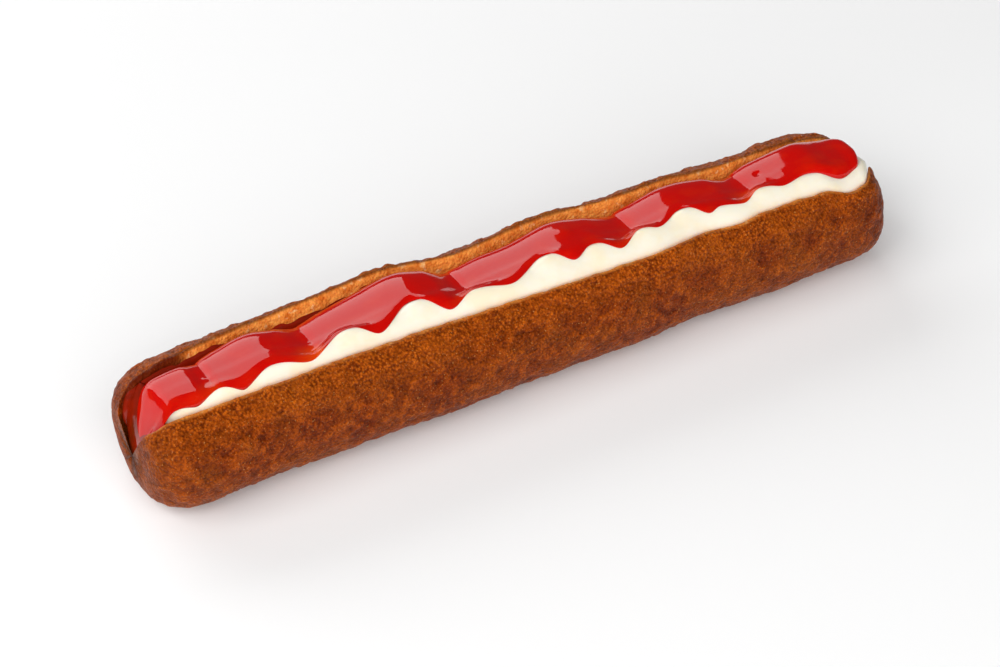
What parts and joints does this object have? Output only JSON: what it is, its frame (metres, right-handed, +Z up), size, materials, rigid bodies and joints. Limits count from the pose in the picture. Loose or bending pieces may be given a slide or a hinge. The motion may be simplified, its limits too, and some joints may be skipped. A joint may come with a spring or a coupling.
{
  "type": "frikandel speciaal",
  "caption": "fried skinless sausage slit along its top, with a bead of mayonnaise and a lobed strip of red sauce laid side by side in the slit",
  "frame": {"origin": "under the middle of the sausage, on the surface that it rests on", "axes": "+X along the sausage, +Y across it towards the wall with the red sauce, +Z up"},
  "size_m": [0.188, 0.0394, 0.0315],
  "materials": {
    "frikandel": "fried meat skin, fine-grained, slightly oily",
    "mayonnaise": "soft, creamy, glossy",
    "red_sauce": "thick wet sauce, very glossy"
  },
  "bodies": {
    "root": {"frikandel": "frikandel", "mayonnaise": "mayonnaise", "red_sauce": "red_sauce"}
  },
  "joints": []
}
